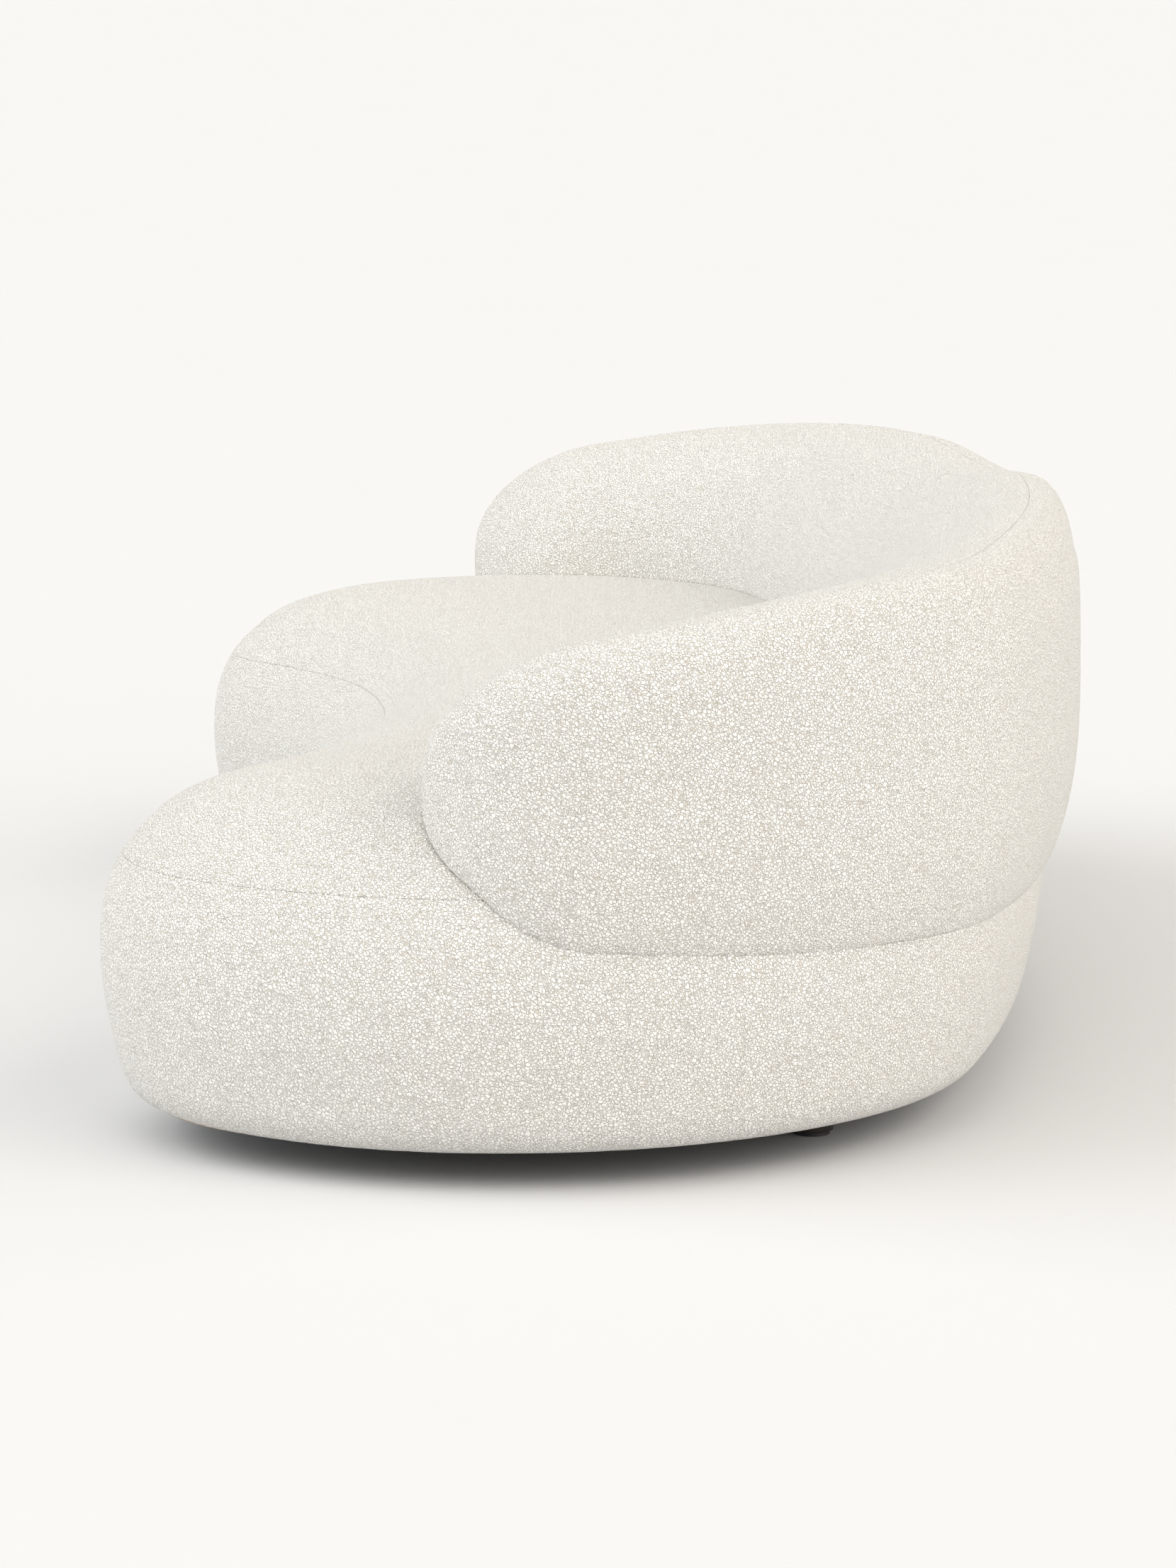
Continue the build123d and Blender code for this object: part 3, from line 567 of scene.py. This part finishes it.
def seat_seam(places):
    """Height above the seam between the seat's top panel and its side band."""
    front = np.clip((WAIST_SEAM_Y - places[:, 1]) / WAIST_SEAM_RUN, 0, 1)
    inner = np.clip(1.1 - np.abs(places[:, 0]) / WAIST_SEAM_REACH, 0, 1)
    return places[:, 2] - SEAM_END_Z - (SEAM_WAIST_Z - SEAM_END_Z) * front * inner


def seat_form():
    rings = []
    for depth, z in seat_profile():
        line = kidney_line(depth)
        rings.append(np.column_stack([line, np.full(len(line), z)]))
    return tube("seat_form", rings)


def undulation(places, height):
    """Slow, uneven waves of hand-laid padding, from a few long sine waves."""
    waves = (
        (7.1, 4.3, 3.0, 0.4),
        (-5.2, 9.4, 6.1, 1.9),
        (12.7, -3.9, 9.0, 4.1),
        (3.3, 14.1, -11.0, 2.6),
    )
    total = np.zeros(len(places))
    for *direction, phase in waves:
        total += np.sin(places @ np.array(direction) + phase)
    return height * total / len(waves)


def padded_form(piece, voxel, limits):
    """Remesh and cloth, then the slow waves of the padding.

    The mesh starts smaller by what the cloth then swells, so that it ends at its true size.
    """
    remeshed(piece, voxel)
    places = coordinates(piece.data)
    room = limits(places)
    move(piece.data, places - normals(piece.data) * room[:, None])
    inflated(piece, room)
    smoothed(piece, FORM_SMOOTHING)
    places = coordinates(piece.data)
    move(piece.data, places + normals(piece.data) * undulation(places, WAVES)[:, None])
    return piece


def seat_limits(places):
    """The seat swells most on top of the side and the crown, and not at its seam or sole."""
    from_seam = np.clip(np.abs(seat_seam(places)) / SWELL_FADE, 0, 1)
    from_sole = np.clip((places[:, 2] - SEAT_BOTTOM_Z) / SWELL_FADE, 0, 1)
    return SWELL * from_seam * from_sole + 1e-5


def make_seat():
    """The closed seat form, its top panel, its side band and the wadding under them."""
    form = padded_form(seat_form(), SEAT_VOXEL, seat_limits)
    wadding = wadding_layer("seat_wadding_layer", form, lambda centres: (
        (centres[:, 2] > SEAT_BULGE_Z) | (seat_inset(centres) < FRAME_EDGE)))
    groove(form, seat_seam)
    top = panel("seat_top_panel", form, lambda centres: seat_seam(centres) > 0)
    band = panel("seat_side_band", form, lambda centres: (seat_seam(centres) < 0) & (
        (centres[:, 2] > SEAT_BOTTOM_Z + 0.02) | (seat_inset(centres) < LIP_INSET)))
    return form, thickened(top), thickened(band), wadding


# ---------------------------------------------------------------- the backrest upholstery
def back_ring(distance, side):
    place, outward = back_place(distance)
    section = back_section(distance)
    plan = place - section[:, :1] * outward
    return np.column_stack([plan[:, 0] * side, plan[:, 1], section[:, 1]])


def back_form():
    straight = BACK_LENGTH - TIP_REACH_PLAN
    stations = list(np.linspace(0, straight, 90, endpoint=False))
    stations += [straight + TIP_REACH_PLAN * sin(turn) * 0.9995 for turn in np.linspace(0, pi / 2, 24)]
    rings = [back_ring(distance, -1) for distance in stations[:0:-1]]
    rings += [back_ring(distance, 1) for distance in stations]
    return tube("back_form", rings)


def ridge_seam(places):
    """Distance from the ridge seam, or from its run on under the sole: inner side positive."""
    along, depth = back_coordinates(places)
    low = np.clip((OUTER_BULGE_Z - places[:, 2]) / RIDGE_SEAM_FADE, 0, 1)
    split = ridge_inset(np.clip(along, 0, BACK_LENGTH))
    return depth - split - (BACK_THICKNESS / 2 - split) * low


def side_seam(places):
    return back_coordinates(places)[0] - SIDE_SEAM_DISTANCE


def back_limits(places):
    from_ridge = np.clip(np.abs(ridge_seam(places)) / SWELL_FADE, 0, 1)
    return SWELL * from_ridge + 1e-5


def sag(piece):
    """Lets the backrest's top edge down a little beside its middle, where the padding has settled."""
    mesh = piece.data
    places = coordinates(mesh)
    off = np.clip(np.abs(places[:, 0] - SAG_X) / SAG_REACH, 0, 1)
    high = np.clip((places[:, 2] - OUTER_BULGE_Z) / (RIDGE_Z - OUTER_BULGE_Z), 0, 1)
    places[:, 2] -= SAG * np.cos(pi / 2 * off)**2 * high
    move(mesh, places)


def make_back(seat):
    """The backrest's inner and outer panels and the wadding under them, fitted round the seat."""
    form = padded_form(back_form(), BACK_VOXEL, back_limits)
    sag(form)
    clearance = clearance_from(seat)
    wadding = wadding_layer("back_wadding_layer", form, lambda centres: (
        clearance(centres) > WADDING_CLEAR))
    groove(form, ridge_seam)
    tucked(form, seat)
    inner = panel("backrest_inner_panel", form, lambda centres: ridge_seam(centres) > 0)
    outer = panel("backrest_outer_panel", form, lambda centres: ridge_seam(centres) < 0)
    groove(outer, side_seam)
    bpy.data.objects.remove(form)
    return thickened(inner), thickened(outer), wadding


# ---------------------------------------------------------------- materials
LOOPS = 320.0
LOOP_SLANT = radians(40)


class Paint:
    """A node material with short calls for the nodes that the finishes share."""

    def __init__(self, name, roughness=0.6, metallic=0.0):
        self.material = bpy.data.materials.new(name)
        self.material.use_nodes = True
        self.nodes = self.material.node_tree.nodes
        self.links = self.material.node_tree.links
        self.shader = self.nodes["Principled BSDF"]
        self.shader.inputs["Roughness"].default_value = roughness
        self.shader.inputs["Metallic"].default_value = metallic
        self.place = self.nodes.new("ShaderNodeTexCoord").outputs["Object"]

    def set(self, socket, value):
        self.shader.inputs[socket].default_value = value

    def feed(self, socket, source):
        self.links.new(source, self.shader.inputs[socket])

    def stretched(self, scale, turn=(0, 0, 0), vector=None):
        """The place turned and then scaled, so that a pattern runs along one direction."""
        turned = self.nodes.new("ShaderNodeMapping")
        turned.inputs["Rotation"].default_value = turn
        self.links.new(vector or self.place, turned.inputs["Vector"])
        node = self.nodes.new("ShaderNodeMapping")
        node.inputs["Scale"].default_value = scale
        self.links.new(turned.outputs[0], node.inputs["Vector"])
        return node.outputs[0]

    def noise(self, scale, detail=3, rough=0.6, vector=None):
        node = self.nodes.new("ShaderNodeTexNoise")
        node.inputs["Scale"].default_value = scale
        node.inputs["Detail"].default_value = detail
        node.inputs["Roughness"].default_value = rough
        self.links.new(vector or self.place, node.inputs["Vector"])
        return node.outputs[0]

    def cells(self, scale, vector=None, feature="F1"):
        node = self.nodes.new("ShaderNodeTexVoronoi")
        node.feature = feature
        node.inputs["Scale"].default_value = scale
        self.links.new(vector or self.place, node.inputs["Vector"])
        return node.outputs["Distance"]

    def math(self, operation, first, second=0.0, third=None):
        node = self.nodes.new("ShaderNodeMath")
        node.operation = operation
        for socket, value in zip(node.inputs, (first, second, third)):
            if value is None:
                continue
            if isinstance(value, (int, float)):
                socket.default_value = value
            else:
                self.links.new(value, socket)
        return node.outputs[0]

    def ranged(self, value, low, high, start=0.0, end=1.0):
        node = self.nodes.new("ShaderNodeMapRange")
        node.interpolation_type = "SMOOTHSTEP"
        for socket, number in zip(list(node.inputs)[1:5], (low, high, start, end)):
            socket.default_value = number
        self.links.new(value, node.inputs[0])
        return node.outputs[0]

    def jittered(self, amount, scale):
        """The place, pushed about by noise, so that a pattern loses its regular look."""
        node = self.nodes.new("ShaderNodeTexNoise")
        node.inputs["Scale"].default_value = scale
        node.inputs["Detail"].default_value = 2
        self.links.new(self.place, node.inputs["Vector"])
        scaled = self.nodes.new("ShaderNodeVectorMath")
        scaled.operation = "MULTIPLY_ADD"
        scaled.inputs[1].default_value = (amount,) * 3
        self.links.new(node.outputs["Color"], scaled.inputs[0])
        self.links.new(self.place, scaled.inputs[2])
        return scaled.outputs[0]

    def mixed(self, share, first, second):
        node = self.nodes.new("ShaderNodeMix")
        node.data_type = "RGBA"
        sockets = (node.inputs[0], node.inputs[6], node.inputs[7])
        for socket, value in zip(sockets, (share, first, second)):
            if isinstance(value, tuple):
                socket.default_value = (*value, 1)
            else:
                self.links.new(value, socket)
        return node.outputs[2]

    def openness(self, distance):
        """How open the surface is to the air around it, from 0 in a tight crease to 1."""
        node = self.nodes.new("ShaderNodeAmbientOcclusion")
        node.samples = 6
        node.inputs["Distance"].default_value = distance
        return node.outputs["AO"]

    def bump(self, height, distance, strength=1.0):
        node = self.nodes.new("ShaderNodeBump")
        node.inputs["Strength"].default_value = strength
        node.inputs["Distance"].default_value = distance
        self.links.new(height, node.inputs["Height"])
        self.feed("Normal", node.outputs[0])


def boucle():
    """Looped cream yarn: slightly slanting nubs about 4 mm long, with painted shade in the thin gaps
    between.

    Painted shade also darkens the yarn in tight creases, where two pieces of the upholstery press
    together.
    """
    paint = Paint("boucle", roughness=0.95)
    loops = (LOOPS, 0.7 * LOOPS, LOOPS)
    slanted = paint.stretched(loops, turn=(LOOP_SLANT, 0, 0), vector=paint.jittered(0.006, 260))
    from_gap = paint.cells(1.0, slanted, feature="DISTANCE_TO_EDGE")
    nub = paint.ranged(from_gap, -0.05, 0.17)
    fibre = paint.noise(620, 3, 0.65)
    tuft = paint.noise(150, 3, 0.6)
    height = paint.math("MULTIPLY_ADD", fibre, 0.9, nub)
    height = paint.math("MULTIPLY_ADD", tuft, 0.55, height)
    yarn = paint.mixed(paint.noise(2.4, 3), (0.934, 0.914, 0.882), (0.950, 0.934, 0.906))
    # Painted shade: the low gaps between the nubs are coloured a dark warm brown, for the shade that
    # falls in them.
    gap_painted_shade = paint.mixed(paint.ranged(height, 0.65, 1.20), (0.68, 0.58, 0.42), yarn)
    # Painted shade: ambient occlusion turns the yarn dark brown in tight creases and where the
    # upholstery's pieces meet.
    crease_painted_shade = paint.mixed(paint.ranged(paint.openness(0.012), 0.15, 0.60), (0.36, 0.28, 0.18), gap_painted_shade)
    paint.feed("Base Color", crease_painted_shade)
    paint.set("Sheen Weight", 0.25)
    paint.set("Sheen Roughness", 0.5)
    paint.set("Specular IOR Level", 0.15)
    paint.bump(height, 0.0015, 1.0)
    return paint.material


def wood(name, pale, dark, along, roughness, coat=0.0, grain=30.0):
    """Straight-grained wood with its fibres along X, Y or Z."""
    paint = Paint(name, roughness)
    scale = [grain, grain, grain]
    scale[along] = grain / 14
    run = paint.stretched(tuple(scale))
    rings = paint.noise(1.4, 5, 0.65, run)
    pores = paint.noise(9.0, 2, 0.8, run)
    mask = paint.math("MULTIPLY_ADD", pores, 0.4, paint.ranged(rings, 0.32, 0.68))
    paint.feed("Base Color", paint.mixed(paint.ranged(mask, 0.0, 1.2), dark, pale))
    paint.feed("Roughness", paint.ranged(pores, 0.3, 0.7, roughness - 0.08, roughness + 0.1))
    paint.set("Coat Weight", coat)
    paint.set("Coat Roughness", 0.3)
    paint.bump(mask, 0.0004, 0.6)
    return paint.material


def plywood():
    """Birch plywood: grained faces and 2 mm plies that show on the edges."""
    paint = Paint("plywood", 0.65)
    grain = paint.noise(1.2, 5, 0.65, paint.stretched((3, 40, 40)))
    face = paint.mixed(paint.ranged(grain, 0.3, 0.7), (0.62, 0.45, 0.27), (0.76, 0.60, 0.40))
    height = paint.nodes.new("ShaderNodeSeparateXYZ")
    paint.links.new(paint.place, height.inputs[0])
    layer = paint.math("PINGPONG", height.outputs[2], 0.002)
    edge = paint.mixed(paint.ranged(layer, 0.0006, 0.0014), (0.42, 0.28, 0.16), (0.72, 0.56, 0.37))
    facing = paint.nodes.new("ShaderNodeSeparateXYZ")
    geometry = paint.nodes.new("ShaderNodeNewGeometry")
    paint.links.new(geometry.outputs["Normal"], facing.inputs[0])
    flat = paint.ranged(paint.math("ABSOLUTE", facing.outputs[2]), 0.5, 0.8)
    paint.feed("Base Color", paint.mixed(flat, edge, face))
    paint.bump(grain, 0.0003, 0.5)
    return paint.material


def fibreboard():
    paint = Paint("fibreboard", 0.8)
    specks = paint.noise(700, 4, 0.75)
    clouds = paint.noise(12, 3)
    brown = paint.mixed(clouds, (0.30, 0.19, 0.11), (0.38, 0.25, 0.15))
    paint.feed("Base Color", paint.mixed(paint.ranged(specks, 0.35, 0.65), brown, (0.46, 0.33, 0.21)))
    paint.bump(specks, 0.0003, 0.6)
    return paint.material


def metal(name, pale, dark, roughness, scratch):
    paint = Paint(name, roughness, metallic=1.0)
    clouds = paint.noise(90, 4, 0.6)
    marks = paint.noise(1.0, 3, 0.7, paint.stretched((scratch, scratch / 8, scratch)))
    paint.feed("Base Color", paint.mixed(paint.ranged(clouds, 0.35, 0.65), dark, pale))
    paint.feed("Roughness", paint.ranged(marks, 0.3, 0.7, roughness - 0.1, roughness + 0.15))
    paint.bump(marks, 0.0001, 0.4)
    return paint.material


def felt(name, pale, dark, bump):
    paint = Paint(name, 0.95)
    fibres = paint.noise(500, 5, 0.8)
    flecks = paint.cells(260, paint.jittered(0.004, 200))
    mask = paint.math("MULTIPLY_ADD", flecks, 0.5, fibres)
    paint.feed("Base Color", paint.mixed(paint.ranged(mask, 0.4, 0.95), dark, pale))
    paint.set("Sheen Weight", 0.15)
    paint.bump(mask, bump, 0.8)
    return paint.material


def dust_cloth():
    """Black spun-bonded cloth with rows of small welded dimples."""
    paint = Paint("dust_cloth", 0.9)
    dimples = paint.cells(420, paint.stretched((1, 1, 0.01)))
    fibres = paint.noise(900, 4, 0.8)
    mask = paint.math("MULTIPLY_ADD", fibres, 0.4, paint.ranged(dimples, 0.1, 0.4))
    black = paint.mixed(paint.ranged(mask, 0.2, 1.2), (0.012, 0.012, 0.012), (0.035, 0.034, 0.033))
    paint.feed("Base Color", black)
    paint.bump(mask, 0.0003, 0.7)
    return paint.material


def foam():
    """Open-cell upholstery foam, slightly yellowed."""
    paint = Paint("foam", 0.9)
    pores = paint.cells(520, paint.jittered(0.002, 400))
    clouds = paint.noise(5, 3)
    body = paint.mixed(clouds, (0.86, 0.80, 0.60), (0.90, 0.85, 0.68))
    paint.feed("Base Color", paint.mixed(paint.ranged(pores, 0.1, 0.45), (0.66, 0.58, 0.38), body))
    paint.bump(pores, 0.0008, 0.7)
    return paint.material


def nylon():
    paint = Paint("glide", 0.55)
    grain = paint.noise(800, 3, 0.6)
    paint.feed("Base Color", paint.mixed(grain, (0.012, 0.012, 0.013), (0.03, 0.03, 0.031)))
    paint.feed("Roughness", paint.ranged(grain, 0.3, 0.7, 0.45, 0.65))
    paint.bump(grain, 0.0001, 0.5)
    return paint.material


def floor_paint():
    paint = Paint("studio_floor", 0.9)
    tone = paint.noise(1.2, 2)
    paint.feed("Base Color", paint.mixed(tone, (0.688, 0.691, 0.704), (0.698, 0.701, 0.714)))
    paint.set("Specular IOR Level", 0.1)
    return paint.material


def finishes():
    """The procedural material of every slot in the record."""
    return {
        "boucle": boucle(),
        "wadding": felt("wadding", (0.90, 0.90, 0.88), (0.78, 0.78, 0.76), 0.0015),
        "foam": foam(),
        "foot_wood": wood(
            "foot_wood", (0.030, 0.024, 0.020), (0.012, 0.010, 0.009), 2, 0.42, coat=0.25, grain=60),
        "glide": nylon(),
        "zinc_steel": metal("zinc_steel", (0.72, 0.72, 0.70), (0.52, 0.53, 0.54), 0.38, 300),
        "spring_steel": metal("spring_steel", (0.20, 0.19, 0.18), (0.09, 0.085, 0.08), 0.45, 500),
        "felt": felt("felt", (0.34, 0.33, 0.31), (0.16, 0.16, 0.16), 0.0010),
        "dust_cloth": dust_cloth(),
        "plywood": plywood(),
        "fibreboard": fibreboard(),
        "pine": wood("pine", (0.80, 0.62, 0.38), (0.62, 0.42, 0.22), 2, 0.6, grain=34),
    }


FINISHES = finishes()


def finish(piece, slot):
    piece.data.materials.clear()
    piece.data.materials.append(FINISHES[slot])
    for polygon in piece.data.polygons:
        polygon.material_index = 0


def dress(piece, slot, nodes):
    """Gives a new piece its finish, its place in the assembly and the nodes it stands for."""
    finish(piece, slot)
    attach(piece, "root")
    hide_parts(*nodes)


# ---------------------------------------------------------------- hidden soft pieces
def foam_block(node):
    """A cut foam block with soft edges, in the place of its CAD solid."""
    piece = link(node + "_block", frame["nodes"][node].data.copy())
    smoothed(remeshed(piece, FOAM_VOXEL), FOAM_SMOOTHING)
    if node.startswith("back"):
        sag(piece)
    dress(piece, "foam", [node])


def plan_sheet(name, inset, z, droop):
    """One layer of cloth over the seat's plan, that hangs a little away from its edge."""
    mesh = bpy.data.meshes.new(name)
    line = kidney_line(inset, SHEET_STEP)
    mesh.from_pydata([(x, y, z) for x, y in line], [], [list(range(len(line)))])
    bm = bmesh.new()
    bm.from_mesh(mesh)
    bmesh.ops.triangulate(bm, faces=bm.faces)
    for _ in range(4):
        long_edges = [edge for edge in bm.edges if edge.calc_length() > SHEET_EDGE]
        bmesh.ops.subdivide_edges(bm, edges=long_edges, cuts=1)
        bmesh.ops.triangulate(bm, faces=bm.faces)
    bm.to_mesh(mesh)
    bm.free()
    places = coordinates(mesh)
    deep = np.clip((seat_inset(places) - inset) / 0.15, 0, 1)
    uneven = 0.75 + 0.25 * np.sin(places[:, 0] * 9) * np.cos(places[:, 1] * 11)
    places[:, 2] -= droop * deep * uneven
    move(mesh, places)
    return link(name, mesh)


# ---------------------------------------------------------------- the object
def build():
    for row in frame["record"]["subparts"]:
        finish(frame["nodes"][row["node"]], row["material_slot"])
    seat, top, band, seat_wadding = make_seat()
    inner, outer, back_wadding = make_back(seat)
    bpy.data.objects.remove(seat)
    dress(top, "boucle", ["seat_cover_top"])
    dress(band, "boucle", ["seat_cover_band"])
    dress(inner, "boucle", ["back_cover_inner"])
    dress(outer, "boucle", ["back_cover_outer"])
    dress(seat_wadding, "wadding", ["seat_wadding"])
    dress(back_wadding, "wadding", ["back_wadding"])
    for node in ("seat_foam", "side_foam", "back_foam_left", "back_foam_centre", "back_foam_right"):
        foam_block(node)
    for name, slot, node, inset, droop in (
        ("dust_cloth_sheet", "dust_cloth", "dust_cover", DUST_CLOTH_INSET, DUST_CLOTH_DROOP),
        ("spring_felt_sheet", "felt", "spring_felt", FELT_INSET, FELT_DROOP),
    ):
        low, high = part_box(node)
        piece = plan_sheet(name, inset, high.z if slot == "felt" else low.z, droop)
        dress(piece, slot, [node])


def stage():
    corners = ((-1, -1), (1, -1), (1, 1), (-1, 1))
    rings = [np.array([(x * FLOOR, y * FLOOR, z) for x, y in corners]) for z in (-0.02, 0)]
    floor = tube("studio_floor", rings)
    floor.data.materials.append(floor_paint())


def sun(name, azimuth, elevation, strength, colour):
    """A broad soft lamp. Azimuth in degrees: 0 shines from the camera's end, 90 from the back."""
    lamp = bpy.data.lights.new(name, "SUN")
    lamp.energy = strength
    lamp.color = colour
    lamp.angle = radians(60)
    around, up = radians(azimuth), radians(elevation)
    towards = Vector((cos(around) * cos(up), sin(around) * cos(up), sin(up)))
    piece = bpy.data.objects.new(name, lamp)
    piece.rotation_mode = "QUATERNION"
    piece.rotation_quaternion = towards.to_track_quat("Z", "Y")
    bpy.context.scene.collection.objects.link(piece)


WARM = (1.0, 0.966, 0.905)
COOL = (0.90, 0.966, 1.0)


def lights():
    """Bright walls all round a studio: cool daylight at the sofa's front, warmer light elsewhere."""
    world = bpy.data.worlds.new("studio")
    world.use_nodes = True
    background = world.node_tree.nodes["Background"]
    background.inputs["Color"].default_value = (*WARM, 1)
    background.inputs["Strength"].default_value = 0.65
    bpy.context.scene.world = world
    sun("front_wall", -90, 25, 1.70, COOL)
    sun("near_right_wall", 45, 25, 1.42, WARM)
    sun("back_wall", 90, 25, 0.84, WARM)
    sun("near_left_ceiling", -45, 55, 0.84, WARM)


FLOOR = 500.0
CAMERA_PLACE = (6.372, -0.004, 1.268)
CAMERA_PITCH = radians(9.02)
CAMERA_YAW = radians(0.27)
CAMERA_LENS = 117.7


def camera():
    """The photograph's view, from one end of the sofa: the front is at the left."""
    data = bpy.data.cameras.new("camera")
    data.lens = CAMERA_LENS
    data.sensor_width = 36
    data.clip_end = 2000
    piece = bpy.data.objects.new("camera", data)
    level = cos(CAMERA_PITCH)
    back = Vector((level * cos(CAMERA_YAW), level * sin(CAMERA_YAW), sin(CAMERA_PITCH)))
    right = Vector((-sin(CAMERA_YAW), cos(CAMERA_YAW), 0))
    up = back.cross(right)
    axes = Matrix((right, up, back)).transposed().to_4x4()
    piece.matrix_world = Matrix.Translation(CAMERA_PLACE) @ axes
    bpy.context.scene.collection.objects.link(piece)
    bpy.context.scene.camera = piece


build()
stage()
lights()
camera()
bpy.context.scene.view_settings.view_transform = "Standard"
